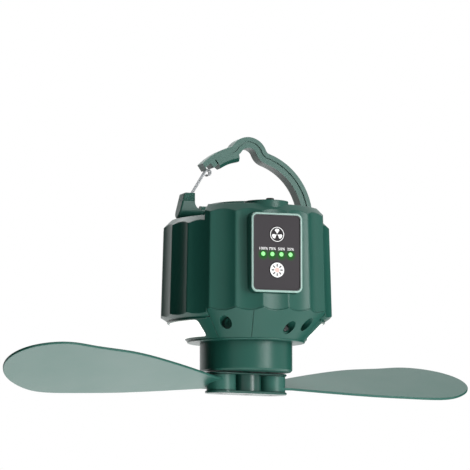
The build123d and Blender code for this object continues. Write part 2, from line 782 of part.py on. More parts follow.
with BuildPart() as hub_screw:
    with BuildSketch(Plane.XY.offset(base + pin_head_depth - pin_head_height)):
        Circle(pin_head_radius)
    extrude(amount=pin_head_height)
    with BuildSketch(Plane.XY.offset(base + pin_head_depth)):
        Circle(hub_screw_radius)
    extrude(amount=hub_screw_length)
    with BuildSketch(Plane.XY.offset(base + pin_head_depth - pin_head_height)):
        Rectangle(4.4, 0.9)
        Rectangle(0.9, 4.4)
    extrude(amount=0.8, mode=Mode.SUBTRACT)
keep("hub_screw", hub_screw.part)


def paddle_outline():
    """Points round a blade from one root corner over the tip to the other, on its own plane."""
    points = []
    for half, side in ((blade_half_high, 1), (blade_half_low, -1)):
        edge = []
        for i in range(outline_steps + 1):
            u = i / outline_steps
            station = blade_root_station + u * (blade_wide_station - blade_root_station)
            width = blade_root_half + (half - blade_root_half) * (1.5 * u - 0.5 * u ** 3)
            edge.append((station - pin_spacing, side * width))
        points.append(edge)
    middle, half = (blade_half_high - blade_half_low) / 2, (blade_half_high + blade_half_low) / 2
    tip = []
    for i in range(1, tip_steps):
        a = radians(180 * i / tip_steps)
        tip.append((blade_wide_station + (blade_tip_radius - blade_wide_station) * sin(a) - pin_spacing,
                    middle + half * cos(a) + blade_tip_skew * sin(a)))
    return points[0] + tip + points[1][::-1]


def blade(way):
    """A pitched paddle on a vertical barrel; way is 1 to the right and -1 to the left."""
    pitch, rise = radians(blade_pitch), radians(blade_rise)
    out = Vector(way * cos(rise), 0, sin(rise))
    up = Vector(-way * sin(rise), 0, cos(rise))
    pitched = Plane((way * pin_spacing, 0, z_blade), x_dir=out,
                    z_dir=up * cos(pitch) - Vector(0, way * sin(pitch), 0))
    outline = paddle_outline()
    with BuildPart() as paddle:
        with BuildSketch(pitched):
            with BuildLine():
                Spline(*outline)
                Polyline(outline[-1], (0, 1 - barrel_radius), (0, barrel_radius - 1), outline[0])
            make_face()
        extrude(amount=blade_thickness / 2, both=True)
        fillet(paddle.edges().filter_by(GeomType.BSPLINE), blade_edge_round)
        with BuildSketch(Plane.XY.offset(z_floor + barrel_gap)):
            with Locations((way * pin_spacing, 0)):
                Circle(barrel_radius)
        extrude(amount=z_roof - z_floor - 2 * barrel_gap)
        with BuildSketch(Plane.XY.offset(base)):
            with Locations((way * pin_spacing, 0)):
                Circle(pin_radius + pin_clearance)
        extrude(amount=reach, mode=Mode.SUBTRACT)
    return turned(paddle.part)


keep("right_blade", blade(1))
keep("left_blade", blade(-1))

# ---------------------------------------------------------------- handle
hump_centre = Vector(0, hump_rise)


def blend(radius, drop):
    """Where the blend between the right of the hump and an arch starts, its middle and end."""
    far, near, rise = radius + hump_blend, hump_radius + hump_blend, hump_rise + drop
    turn = acos((far ** 2 + rise ** 2 - near ** 2) / (2 * far * rise))
    way = Vector(sin(turn), cos(turn))
    centre, touch = Vector(0, -drop) + way * far, Vector(0, -drop) + way * radius
    hump_touch = hump_centre + (hump_centre - centre).normalized() * -hump_radius
    bulge = (touch - centre) + (hump_touch - centre)
    return touch, centre + bulge.normalized() * hump_blend, hump_touch


def mirrored(point):
    return Vector(-point.X, point.Y)


def polar(angle, radius):
    """Point on the handle plane, by angle from straight up towards the nose."""
    return Vector(-sin(radians(angle)), cos(radians(angle))) * radius


def arch_line(lift, nose):
    """The handle's centre line, from so far above the pivot over the hump to the nose."""
    right_touch, right_middle, right_hump = blend(right_radius, right_drop)
    left_touch, left_middle, left_hump = (mirrored(point) for point in blend(arch_radius, 0))
    centre = Vector(0, -right_drop)
    start = Vector((right_radius ** 2 - (lift + right_drop) ** 2) ** 0.5, lift)
    bulge = (start - centre) + (right_touch - centre)
    ThreePointArc(start, centre + bulge.normalized() * right_radius, right_touch)
    ThreePointArc(right_touch, right_middle, right_hump)
    ThreePointArc(right_hump, hump_centre + Vector(0, hump_radius), left_hump)
    ThreePointArc(left_hump, left_middle, left_touch)
    if nose:
        end = polar(nose_angle, arch_radius)
        ThreePointArc(left_touch, (left_touch + end).normalized() * arch_radius, end)


lean = radians(gate_lean)
along = Vector(sin(lean), cos(lean))              # up the gate
square = Vector(-cos(lean), sin(lean))            # out of the loop
foot = Vector(*gate_foot)
curl_start = foot + along * gate_length
curl_centre = curl_start - square * curl_radius

opened = radians(gate_lean + gate_open)
along_open = Vector(sin(opened), cos(opened))
square_open = Vector(-cos(opened), sin(opened))
slot_half = wire_radius + gate_clearance


with BuildPart() as handle:
    inside = arch_radius - handle_band            # clear of the band, inside the loop
    with BuildSketch(handle_plane):
        with BuildLine():
            arch_line(0, True)
        trace(line_width=handle_band)
        # The nose is thinned for the gate, notched behind it and slit at the catch
        with BuildLine():
            Polyline(polar(nose_angle + 4, nose_relief), polar(notch_angles[1], nose_relief),
                     polar(notch_angles[1] - 1, notch_radius), polar(notch_angles[0], notch_radius),
                     polar(notch_angles[0], inside), polar(nose_angle + 4, inside), close=True)
        make_face(mode=Mode.SUBTRACT)
        top, low = (Vector(*point) for point in nose_end)
        with BuildLine():
            Polyline(top + (top - low) * 2, low + (low - top) * 2, (-2 * arch_radius, 0),
                     (-2 * arch_radius, arch_radius), close=True)
        make_face(mode=Mode.SUBTRACT)
        with BuildLine():
            ThreePointArc(polar(shoulder_start, shoulder_radius),
                          polar((shoulder_start + slit_angle) / 2, shoulder_radius),
                          polar(slit_angle, shoulder_radius))
            Polyline(polar(slit_angle, shoulder_radius), polar(slit_angle, arch_radius),
                     polar(shoulder_start, arch_radius), polar(shoulder_start, shoulder_radius))
        make_face()
        with BuildLine():
            Line(polar(slit_angle, inside), polar(slit_angle, arch_radius))
        trace(line_width=slit_width, mode=Mode.SUBTRACT)
    extrude(amount=handle_depth / 2, both=True)
    chamfer(handle.edges().filter_by(GeomType.CIRCLE)
            .filter_by(lambda edge: abs(edge.radius - shoulder_radius) < 0.01), shoulder_chamfer)
    # Horn, standing on the left foot
    outer = horn_outer + horn_taper               # made long, and cut to lean further down
    right_foot = (right_radius ** 2 - right_drop ** 2) ** 0.5 + handle_band / 2
    with BuildSketch(handle_plane):
        with BuildLine():
            inner = -horn_outer + horn_width
            Polyline((-foot_inner, horn_heel), (-foot_inner, 0), (-outer, 0), (-outer, horn_rise),
                     (inner, horn_rise), (inner, horn_rise - horn_neck))
            ThreePointArc((inner, horn_rise - horn_neck),
                          (inner + 1.4, (horn_rise - horn_neck + horn_heel) / 2 - 1),
                          (-foot_inner, horn_heel))
        make_face()
    extrude(amount=handle_depth / 2, both=True)
    # Round feet and the bar under the cap; only the lower half of the horn's foot is left
    for low, high, radius in ((-outer, -foot_inner, foot_radius), (foot_inner, right_foot, foot_radius),
                              (-foot_inner, foot_inner, bar_radius)):
        with BuildSketch(Plane.YZ.offset(low)):
            with Locations((0, z_pivot)):
                Circle(radius)
                if low == -outer:
                    Rectangle(2 * radius, radius, align=(Align.CENTER, Align.MIN), mode=Mode.SUBTRACT)
        extrude(amount=high - low)
    with BuildSketch(handle_plane):
        with BuildLine():
            slope = Vector(horn_taper, horn_rise)
            Polyline(Vector(-horn_outer, 0) - slope, Vector(-horn_outer, 0) + slope * 2,
                     (-2 * outer, 2 * horn_rise), (-2 * outer, -horn_rise), close=True)
        make_face()
    extrude(amount=foot_radius, both=True, mode=Mode.SUBTRACT)
    fillet(handle.faces().sort_by(Axis.X)[0].edges(), horn_round)
    # Decorative groove along the middle of both faces
    for way in (1, -1):
        with BuildSketch(handle_plane.offset(way * handle_depth / 2)):
            with BuildLine():
                arch_line(groove_start, False)
            trace(line_width=groove_width)
        extrude(amount=-way * groove_depth, mode=Mode.SUBTRACT)
    # Slot in the horn that the gate's legs swing in, and the holes of their bent ends
    with BuildSketch(handle_plane):
        with BuildLine():
            start = foot + square * slot_half
            lift = (horn_rise + 2 - start.Y) / cos(lean)
            start_open = foot - square_open * slot_half
            lift_open = (horn_rise + 2 - start_open.Y) / cos(opened)
            Polyline(start, start + along * lift, start_open + along_open * lift_open, start_open,
                     close=True)
        make_face()
        with Locations((foot.X, foot.Y)):
            Circle(slot_half)
    extrude(amount=gate_spread / 2 + slot_half, both=True, mode=Mode.SUBTRACT)
    with BuildSketch(handle_plane):
        with Locations((foot.X, foot.Y)):
            Circle(wire_radius + gate_pin_clearance)
    extrude(amount=gate_pin_length + 0.2, both=True, mode=Mode.SUBTRACT)
keep("handle", handle.part)


def on_handle(point, y=0.0):
    """A handle-plane point in space; y is measured along the part's Y axis."""
    return Vector(point.X, y, z_pivot + point.Y)


with BuildPart() as wire_gate:
    curl_end = curl_centre + (curl_start - curl_centre).rotate(Axis.Z, -curl_turn)
    curl_middle = curl_centre + (curl_start - curl_centre).rotate(Axis.Z, -curl_turn / 2)
    for side in (-1, 1):
        y = side * gate_spread / 2
        with BuildLine():
            Line(on_handle(foot, y), on_handle(curl_start, y))
            ThreePointArc(on_handle(curl_start, y), on_handle(curl_middle, y), on_handle(curl_end, y))
        with BuildSketch(Plane(on_handle(foot, y), z_dir=(along.X, 0, along.Y))):
            Circle(wire_radius)
        sweep()
    # Bent ends in the horn, and the bar that joins the legs at the curl
    for point, low, high in ((foot, gate_spread / 2, gate_pin_length),
                             (foot, -gate_pin_length, -gate_spread / 2),
                             (curl_end, -gate_spread / 2, gate_spread / 2)):
        with BuildSketch(Plane(on_handle(point, low), x_dir=(1, 0, 0), z_dir=(0, 1, 0))):
            Circle(wire_radius)
        extrude(amount=high - low)
    with Locations(*[on_handle(point, side * gate_spread / 2)
                     for point in (foot, curl_end) for side in (-1, 1)]):
        Sphere(wire_radius)
keep("wire_gate", wire_gate.part)

# ---------------------------------------------------------------- cap
with BuildPart() as pivot_cap:
    with BuildSketch(Plane.XY.offset(z_pivot)):
        Circle(cap_radius)
    extrude(amount=cap_height)
    fillet(pivot_cap.edges().group_by(Axis.Z)[-1], cap_edge_round)
    with BuildSketch(Plane.XY.offset(z_cap - cap_face_depth)):
        Circle(cap_face_radius + fit_gap)
    extrude(amount=reach, mode=Mode.SUBTRACT)
    with BuildSketch(Plane.YZ.offset(-cap_radius - 1)):
        with Locations((0, z_pivot)):
            Circle(bar_radius + bar_clearance)
    extrude(amount=2 * cap_radius + 2, mode=Mode.SUBTRACT)
    with BuildSketch(Plane.XY.offset(z_pivot)):
        with Locations((0, cap_screw_offset), (0, -cap_screw_offset)):
            Circle(screw_radius)
    extrude(amount=cap_height - cap_face_depth - 1, mode=Mode.SUBTRACT)
keep("pivot_cap", pivot_cap.part)

with BuildPart() as cap_face:
    with BuildSketch(Plane.XY.offset(z_cap - cap_face_depth)):
        Circle(cap_face_radius)
    extrude(amount=cap_face_depth - 0.2)
keep("cap_face", cap_face.part)

with BuildPart() as cap_screws:
    with BuildSketch(Plane.XY.offset(ceiling)):
        with Locations((0, cap_screw_offset), (0, -cap_screw_offset)):
            Circle(screw_head_radius)
    extrude(amount=-screw_head_height)
    with BuildSketch(Plane.XY.offset(ceiling)):
        with Locations((0, cap_screw_offset), (0, -cap_screw_offset)):
            Circle(screw_radius - 0.05)
    extrude(amount=z_cap - cap_face_depth - 2 - ceiling)
    with BuildSketch(Plane.XY.offset(ceiling - screw_head_height)):
        with Locations((0, cap_screw_offset), (0, -cap_screw_offset)):
            Rectangle(3.6, 0.8)
            Rectangle(0.8, 3.6)
    extrude(amount=0.9, mode=Mode.SUBTRACT)
keep("cap_screws", cap_screws.part)

# ---------------------------------------------------------------- charging port
z_plug = z_boss - plug_thickness
with BuildPart() as usb_socket:
    with BuildSketch(Plane.XY.offset(z_plug - port_depth)):
        with Locations((0, -plug_offset)):
            SlotOverall(port_width, port_height)
    extrude(amount=port_depth)
    with BuildSketch(Plane.XY.offset(z_plug - port_depth + 1)):
        with Locations((0, -plug_offset)):
            SlotOverall(port_width - 2 * port_shell, port_height - 2 * port_shell)
    extrude(amount=port_depth, mode=Mode.SUBTRACT)
    with BuildSketch(Plane.XY.offset(z_plug - port_depth + 1)):
        with Locations((0, -plug_offset)):
            Rectangle(port_width - 3, 0.7)
    extrude(amount=port_depth - 1 - plug_tongue - 0.6)
keep("usb_socket", usb_socket.part)

with BuildPart() as port_board:
    with BuildSketch(Plane.XY.offset(z_plug - port_depth)):
        with Locations((0, -plug_offset + 1)):
            Rectangle(port_board_width, port_board_length)
    extrude(amount=-1.2)
    with BuildSketch(Plane.XY.offset(z_plug - port_depth)):
        with Locations((-5.5, -plug_offset + 5), (5.5, -plug_offset + 5)):
            Rectangle(2.4, 1.4)
    extrude(amount=0.9)
keep("port_board", port_board.part)

with BuildPart() as port_plug:
    with BuildSketch(Plane.XY.offset(z_plug)):
        with Locations((0, -plug_offset)):
            Circle(plug_radius)
    extrude(amount=plug_thickness)
    fillet(port_plug.edges().group_by(Axis.Z)[-1], 0.5)
    with BuildSketch(Plane.XY.offset(z_plug)):
        with Locations((0, -plug_tab_offset)):
            Circle(plug_tab_radius)
    extrude(amount=plug_thickness + plug_tab_height)
    fillet(port_plug.edges().group_by(Axis.Z)[-1], 0.6)
    with BuildSketch(Plane.XY.offset(z_plug)):
        with Locations((0, -plug_offset)):
            SlotOverall(port_width - 2 * port_shell - 0.5, port_height - 2 * port_shell - 0.5)
    extrude(amount=-plug_tongue)
keep("port_plug", port_plug.part)

# ---------------------------------------------------------------- control panel
def panel_plane(depth):
    """Plane square to the panel, so far behind the front of its rim."""
    return Plane.XZ.offset(panel_face_offset - depth)


opening_width = panel_width - 2 * panel_rim - 2 * panel_ledge
opening_height = panel_height - 2 * panel_rim - 2 * panel_ledge
face_back = panel_rim_depth
button_places = {"fan_button": fan_button_up, "light_button": light_button_up}
board_front = face_back + switch_room

with BuildPart() as panel_frame:
    with BuildSketch(panel_plane(panel_depth)):
        with Locations((0, z_panel)):
            RectangleRounded(panel_width, panel_height, panel_corner)
    extrude(amount=panel_depth)
    fillet(panel_frame.edges().group_by(Axis.Y)[0], panel_edge_round)
    with BuildSketch(panel_plane(panel_rim_depth)):
        with Locations((0, z_panel)):
            RectangleRounded(panel_width - 2 * panel_rim, panel_height - 2 * panel_rim,
                             panel_corner - panel_rim + 0.5)
    extrude(amount=reach, mode=Mode.SUBTRACT)
    with BuildSketch(panel_plane(panel_depth)):
        with Locations((0, z_panel)):
            Rectangle(opening_width, opening_height)
    extrude(amount=reach, mode=Mode.SUBTRACT)
keep("panel_frame", panel_frame.part)

with BuildPart() as panel_face:
    with BuildSketch(panel_plane(face_back)):
        with Locations((0, z_panel)):
            RectangleRounded(panel_width - 2 * panel_rim - 2 * fit_gap,
                             panel_height - 2 * panel_rim - 2 * fit_gap,
                             panel_corner - panel_rim + 0.5 - fit_gap)
        with Locations(*[(0, z_panel + up) for up in button_places.values()]):
            Circle(button_radius + button_gap, mode=Mode.SUBTRACT)
        with Locations((0, z_panel + lamp_row_up)):
            with GridLocations(lamp_spacing, 1, 4, 1):
                Circle(lamp_radius + 0.02, mode=Mode.SUBTRACT)
    extrude(amount=face_thickness)
keep("panel_face", panel_face.part)

for name, up in button_places.items():
    with BuildPart() as button:
        flange_back = face_back + button_play + button_flange
        with BuildSketch(panel_plane(flange_back)):
            with Locations((0, z_panel + up)):
                Circle(button_radius)
        extrude(amount=flange_back - face_back + face_thickness + button_proud)
        fillet(button.edges().group_by(Axis.Y)[0], 0.3)
        with BuildSketch(panel_plane(flange_back)):
            with Locations((0, z_panel + up)):
                Circle(button_radius + 1)
        extrude(amount=button_flange)
        with BuildSketch(panel_plane(flange_back + button_stem)):
            with Locations((0, z_panel + up)):
                Circle(1.5)
        extrude(amount=button_stem)
    keep(name, button.part)

with BuildPart() as charge_lights:
    with BuildSketch(panel_plane(board_front)):
        with Locations((0, z_panel + lamp_row_up)):
            with GridLocations(lamp_spacing, 1, 4, 1):
                Circle(lamp_radius)
    extrude(amount=board_front - face_back + face_thickness + 0.1)
keep("charge_lights", charge_lights.part)

with BuildPart() as tact_switches:
    with BuildSketch(panel_plane(board_front)):
        with Locations(*[(0, z_panel + up) for up in button_places.values()]):
            Rectangle(6, 6)
    extrude(amount=switch_body)
    with BuildSketch(panel_plane(board_front)):
        with Locations(*[(0, z_panel + up) for up in button_places.values()]):
            Circle(1.7)
    extrude(amount=switch_room - button_play - button_flange - button_stem - button_travel - 0.1)
keep("tact_switches", tact_switches.part)

with BuildPart() as panel_board:
    with BuildSketch(panel_plane(board_front + board_thickness)):
        with Locations((0, z_panel)):
            Rectangle(opening_width - 2 * fit_gap, opening_height - 2 * fit_gap)
    extrude(amount=board_thickness)
    with BuildSketch(panel_plane(board_front + board_thickness)):
        with Locations((-6, z_panel + 14), (7, z_panel - 4), (-5, z_panel - 16)):
            Rectangle(7, 5)
    extrude(amount=-1.2)
keep("panel_board", panel_board.part)

# ---------------------------------------------------------------- battery and main board
holder_size = 2 * cell_spacing + 5
cell_low = z_holder + holder_plate - holder_pocket
holder_top = cell_low + cell_height - holder_pocket
with BuildPart() as battery_holder:
    for z in (z_holder, holder_top):
        with BuildSketch(Plane.XY.offset(z)):
            with Locations((0, cells_centre_y)):
                RectangleRounded(holder_size, holder_size, 4)
        extrude(amount=holder_plate)
    with BuildSketch(Plane.XY.offset(z_holder + 1)):
        with Locations((0, cells_centre_y)):
            Circle(cell_spacing / sqrt(2) - cell_radius - 0.6)
    extrude(amount=holder_top - z_holder)
    with BuildSketch(Plane.XY.offset(cell_low)):
        with Locations((0, cells_centre_y)):
            with GridLocations(cell_spacing, cell_spacing, 2, 2):
                Circle(cell_radius + 0.05)
    extrude(amount=cell_height, mode=Mode.SUBTRACT)
    # Standoffs for the main board
    board_back = cells_centre_y - holder_size / 2 - standoff_length
    for z in (z_holder + holder_plate / 2, holder_top + holder_plate / 2):
        with BuildSketch(Plane.XZ.offset(-board_back)):
            with Locations((-15, z), (15, z)):
                Circle(holder_plate / 2)
        extrude(amount=-standoff_length - 1)
keep("battery_holder", battery_holder.part)

with BuildPart() as battery_cells:
    with BuildSketch(Plane.XY.offset(cell_low)):
        with Locations((0, cells_centre_y)):
            with GridLocations(cell_spacing, cell_spacing, 2, 2):
                Circle(cell_radius)
    extrude(amount=cell_height)
    fillet(battery_cells.edges().filter_by(GeomType.CIRCLE), 0.6)
keep("battery_cells", battery_cells.part)

with BuildPart() as main_board:
    board_low = z_holder - 1
    with BuildSketch(Plane.XZ.offset(-board_back)):
        with Locations((0, board_low + main_board_height / 2)):
            Rectangle(main_board_width, main_board_height)
    extrude(amount=board_thickness)
    with BuildSketch(Plane.XZ.offset(-board_back + board_thickness)):
        with Locations((0, board_low + 34), (-14, board_low + 20), (14, board_low + 52)):
            Rectangle(9, 9)
        with Locations((13, board_low + 18), (-13, board_low + 50)):
            Circle(5)
    extrude(amount=3.5)
keep("main_board", main_board.part)
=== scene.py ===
"""The looks of a hanging camping fan: finishes, printed marks, light and camera."""
import math

import bmesh
import bpy
from mathutils import Matrix, Vector


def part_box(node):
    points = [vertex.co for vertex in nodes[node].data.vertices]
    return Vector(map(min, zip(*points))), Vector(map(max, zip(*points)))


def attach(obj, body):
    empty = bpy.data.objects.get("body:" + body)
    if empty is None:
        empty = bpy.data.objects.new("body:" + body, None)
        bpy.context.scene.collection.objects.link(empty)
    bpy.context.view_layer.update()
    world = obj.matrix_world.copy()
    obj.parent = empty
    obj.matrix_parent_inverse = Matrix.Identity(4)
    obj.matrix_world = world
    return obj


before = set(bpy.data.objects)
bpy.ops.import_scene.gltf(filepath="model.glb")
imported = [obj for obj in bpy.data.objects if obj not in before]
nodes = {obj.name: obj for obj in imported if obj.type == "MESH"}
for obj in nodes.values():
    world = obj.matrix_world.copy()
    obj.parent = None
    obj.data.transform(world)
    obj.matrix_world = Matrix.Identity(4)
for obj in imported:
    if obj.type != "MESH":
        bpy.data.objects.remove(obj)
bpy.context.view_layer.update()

MM = 0.001


# ------------------------------------------------------------------ building shader trees
def tone(red, green, blue):
    """A finish's colour from its 0-255 values, as the shader wants it."""
    parts = []
    for value in (red, green, blue):
        share = value / 255
        parts.append(share / 12.92 if share <= 0.04045 else ((share + 0.055) / 1.055) ** 2.4)
    return (*parts, 1.0)


def add(tree, kind, **settings):
    """A new node. Each setting goes to its input of that name, or else to the node itself."""
    node = tree.nodes.new(kind)
    for key, value in settings.items():
        if key in node.inputs:
            node.inputs[key].default_value = value
        else:
            setattr(node, key, value)
    return node


def feed(tree, socket, value):
    """Links another node's output to the socket, or sets the socket to a plain value."""
    if isinstance(value, bpy.types.NodeSocket):
        tree.links.new(value, socket)
    else:
        socket.default_value = value


def maths(tree, operation, *values, clamp=False):
    """The output of a sum on numbers or sockets."""
    node = add(tree, "ShaderNodeMath", operation=operation, use_clamp=clamp)
    for socket, value in zip(node.inputs, values):
        feed(tree, socket, value)
    return node.outputs[0]


def vector_maths(tree, operation, *values):
    """The output of a sum on vectors, which is a number for a length, a distance or a dot product."""
    node = add(tree, "ShaderNodeVectorMath", operation=operation)
    for socket, value in zip(node.inputs, values):
        feed(tree, socket, value)
    gives_number = operation in ("DOT_PRODUCT", "LENGTH", "DISTANCE")
    return node.outputs["Value" if gives_number else "Vector"]


def remap(tree, value, start, end, low=0.0, high=1.0, **settings):
    """The value's way from start to end, as a way from low to high that stops at both."""
    node = add(tree, "ShaderNodeMapRange", **settings)
    for name, number in (("From Min", start), ("From Max", end), ("To Min", low), ("To Max", high)):
        node.inputs[name].default_value = number
    tree.links.new(value, node.inputs["Value"])
    return node.outputs[0]


def place_on(tree):
    """The place on the piece, in metres from the model's origin."""
    return add(tree, "ShaderNodeTexCoord").outputs["Object"]


def new_group(name, inputs, outputs):
    """An empty shader group with its named inputs and outputs."""
    group = bpy.data.node_groups.new(name, "ShaderNodeTree")
    for label, kind, value in inputs:
        socket = group.interface.new_socket(label, in_out="INPUT", socket_type=kind)
        socket.default_value = value
    for label, kind in outputs:
        group.interface.new_socket(label, in_out="OUTPUT", socket_type=kind)
    return group, group.nodes.new("NodeGroupInput"), group.nodes.new("NodeGroupOutput")


# ------------------------------------------------------------------ effects that finishes share
def make_moulding():
    """Satin moulded plastic: drifting tone, patchy gloss and a fine spark-eroded grain."""
    group, entry, leave = new_group(
        "moulded_skin",
        [("Colour", "NodeSocketColor", (0.1, 0.1, 0.1, 1)), ("Drift", "NodeSocketFloat", 0.1),
         ("Gloss", "NodeSocketFloat", 0.4), ("Patch", "NodeSocketFloat", 0.08),
         ("Grain size", "NodeSocketFloat", 2500.0)],
        [("Colour", "NodeSocketColor"), ("Roughness", "NodeSocketFloat"), ("Height", "NodeSocketFloat")])
    link = group.links.new
    place = place_on(group)
    broad = add(group, "ShaderNodeTexNoise", Scale=26.0, Detail=3.0, Roughness=0.55)
    fine = add(group, "ShaderNodeTexNoise", Detail=2.0, Roughness=0.6)
    for noise in (broad, fine):
        link(place, noise.inputs["Vector"])
    link(entry.outputs["Grain size"], fine.inputs["Scale"])
    # Tone and gloss drift up and down round the finish's own values
    centred = maths(group, "SUBTRACT", broad.outputs["Fac"], 0.5)
    tinted = add(group, "ShaderNodeVectorMath", operation="SCALE")
    link(entry.outputs["Colour"], tinted.inputs[0])
    link(maths(group, "MULTIPLY_ADD", centred, entry.outputs["Drift"], 1.0), tinted.inputs["Scale"])
    link(tinted.outputs[0], leave.inputs["Colour"])
    rough = maths(group, "MULTIPLY_ADD", centred, entry.outputs["Patch"], entry.outputs["Gloss"], clamp=True)
    link(rough, leave.inputs["Roughness"])
    link(fine.outputs["Fac"], leave.inputs["Height"])
    return group


def make_band():
    """0 up to an edge along one direction of the piece, then rising to 1 over the softness."""
    group, entry, leave = new_group(
        "band_mask",
        [("Direction", "NodeSocketVector", (0, 0, 1)), ("Edge", "NodeSocketFloat", 0.0),
         ("Softness", "NodeSocketFloat", 0.0005)],
        [("Mask", "NodeSocketFloat")])
    along = vector_maths(group, "DOT_PRODUCT", place_on(group), entry.outputs["Direction"])
    past = maths(group, "SUBTRACT", along, entry.outputs["Edge"])
    mask = maths(group, "DIVIDE", past, entry.outputs["Softness"], clamp=True)
    group.links.new(mask, leave.inputs["Mask"])
    return group


MOULDING = make_moulding()
BAND = make_band()


def band(tree, direction, edge, softness):
    """A band mask's output, with its own values."""
    node = add(tree, "ShaderNodeGroup", node_tree=BAND, Direction=direction, Edge=edge, Softness=softness)
    return node.outputs["Mask"]


def tint(made, mask, colour):
    """Where the mask is 1 the finish takes this colour instead."""
    tree = made.node_tree
    socket = tree.nodes["Principled BSDF"].inputs["Base Color"]
    source = socket.links[0].from_socket
    mix = add(tree, "ShaderNodeMix", data_type="RGBA")
    plain, instead, mixed = mix.inputs[6], mix.inputs[7], mix.outputs[2]      # the mix's colour sockets
    tree.links.new(mask, mix.inputs["Factor"])
    tree.links.new(source, plain)
    instead.default_value = tone(*colour)
    tree.links.new(mixed, socket)


def rounded_distance(tree, centre, half, corner):
    """Distance outside a rounded rectangle that stands facing the front, negative inside its edge."""
    any_depth = 9.0                    # far deeper than the fan, so depth never counts
    aside = vector_maths(tree, "SUBTRACT", place_on(tree), (centre.x, 0, centre.z))
    aside = vector_maths(tree, "ABSOLUTE", aside)
    past = vector_maths(tree, "SUBTRACT", aside, (half.x - corner, any_depth, half.z - corner))
    past = vector_maths(tree, "MAXIMUM", past, (0, 0, 0))
    return maths(tree, "SUBTRACT", vector_maths(tree, "LENGTH", past), corner)


# ------------------------------------------------------------------ kinds of finish
def moulded(name, colour, gloss, drift, patch, grain_size=2500.0):
    """A material whose colour and gloss come from the moulded skin."""
    made = bpy.data.materials.new(name)
    made.use_nodes = True
    made.node_tree.nodes.clear()
    tree = made.node_tree
    shader = add(tree, "ShaderNodeBsdfPrincipled")
    end = add(tree, "ShaderNodeOutputMaterial")
    tree.links.new(shader.outputs[0], end.inputs["Surface"])
    skin = add(tree, "ShaderNodeGroup", node_tree=MOULDING, Colour=tone(*colour), Drift=drift, Gloss=gloss,
               Patch=patch)
    skin.inputs["Grain size"].default_value = grain_size
    tree.links.new(skin.outputs["Colour"], shader.inputs["Base Color"])
    tree.links.new(skin.outputs["Roughness"], shader.inputs["Roughness"])
    return made, tree, shader, skin


def plastic(name, colour, gloss=0.42, drift=0.14, patch=0.1, grain=0.03, grain_size=2500.0,
            specular=0.4, edge=0.0):
    """Moulded plastic with a fine grain. Its sharp edges look rounded by the edge's radius."""
    made, tree, shader, skin = moulded(name, colour, gloss, drift, patch, grain_size)
    bump = add(tree, "ShaderNodeBump", Strength=grain, Distance=0.2 * MM)
    tree.links.new(skin.outputs["Height"], bump.inputs["Height"])
    if edge:
        rounded = add(tree, "ShaderNodeBevel", samples=4, Radius=edge)
        tree.links.new(rounded.outputs[0], bump.inputs["Normal"])
    tree.links.new(bump.outputs[0], shader.inputs["Normal"])
    shader.inputs["Specular IOR Level"].default_value = specular
    return made


def metal(name, colour, gloss=0.3, drift=0.1, grain=0.02):
    """Bare or plated metal."""
    made = plastic(name, colour, gloss=gloss, drift=drift, grain=grain, grain_size=4000.0, specular=0.5)
    made.node_tree.nodes["Principled BSDF"].inputs["Metallic"].default_value = 1.0
    return made


def glowing(name, colour, light, strength, gloss=0.3):
    """A milky or printed surface that gives a little light of its own, painted light that keeps it bright.
    """
    made, _, shader, _ = moulded(name, colour, gloss, drift=0.08, patch=0.08)
    shader.inputs["Emission Color"].default_value = tone(*light)
    shader.inputs["Emission Strength"].default_value = strength
    return made


# ------------------------------------------------------------------ this fan's finishes
BODY = (33, 86, 75)
green = plastic("satin_green", BODY, gloss=0.32, specular=0.27, edge=0.5 * MM)
drum_green = plastic("drum_green", BODY, gloss=0.34, specular=0.28, edge=1.3 * MM)
# Painted light: the handle takes a lighter green than the body, for the light on its faces
handle_lit_green = plastic("handle_lit_green", (38, 94, 82), gloss=0.4, grain=0.008, specular=0.38)
blade_green = plastic("blade_green", (40, 94, 83), gloss=0.4, specular=0.36, edge=0.3 * MM)
# Painted shade: the hub takes a darker green than the body, for the shade under the neck and between its
# posts
hub_shaded_green = plastic("hub_shaded_green", (27, 74, 65), gloss=0.26, edge=0.5 * MM)
frame_green = plastic("panel_rim_green", BODY, gloss=0.34, edge=0.4 * MM)
charcoal = plastic("charcoal_face", (61, 58, 61), gloss=0.6, drift=0.06, specular=0.15)
button_face = plastic("button_charcoal", (40, 38, 40), gloss=0.55, drift=0.06, specular=0.15)
rubber = plastic("plug_rubber", (22, 26, 26), gloss=0.62, grain=0.1, grain_size=1800.0)
inner_black = plastic("inner_black", (30, 31, 31), gloss=0.6)
cell_sleeve = plastic("cell_sleeve", (38, 82, 140), gloss=0.25, specular=0.5)
board_green = plastic("board_lacquer", (20, 92, 58), gloss=0.3, specular=0.5)
white_tray = plastic("tray_white", (238, 238, 234), gloss=0.4)
screw_dark = plastic("screw_dark", (36, 92, 80), gloss=0.4, specular=0.12)
receiver_black = plastic("receiver_black", (14, 15, 16), gloss=0.1, grain=0.0, specular=0.6)
steel = metal("screw_steel", (96, 98, 98), gloss=0.36)
core_steel = metal("core_steel", (92, 92, 96), gloss=0.5)
winding = metal("winding_copper", (196, 118, 66), gloss=0.4)
magnet = metal("magnet_grey", (70, 70, 74), gloss=0.5)
gate_chrome = metal("gate_chrome", (150, 153, 155), gloss=0.5, drift=0.04, grain=0.0)
# Painted light: the lamp lenses glow a little to stay bright white
lens_glow = glowing("lens_milky", (246, 246, 242), (255, 255, 252), 0.75)
led_glow = glowing("lamp_green", (110, 215, 110), (110, 235, 110), 0.6)
# Painted light: the printed ink glows a little to stay bright
ink_white = glowing("ink_white", (240, 240, 240), (255, 255, 255), 0.2, gloss=0.5)
ink_blush = glowing("ink_blush", (236, 188, 180), (255, 200, 190), 0.12, gloss=0.5)
ink_dark = plastic("ink_dark", (58, 52, 54), gloss=0.5, drift=0.05)


# ------------------------------------------------------------------ where things are
def corners(node):
    """A piece's lowest and highest corners."""
    return [Vector(corner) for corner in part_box(node)]


def front_middle(node):
    """The middle of a piece's front face."""
    low, high = corners(node)
    return Vector(((low.x + high.x) / 2, low.y, (low.z + high.z) / 2))


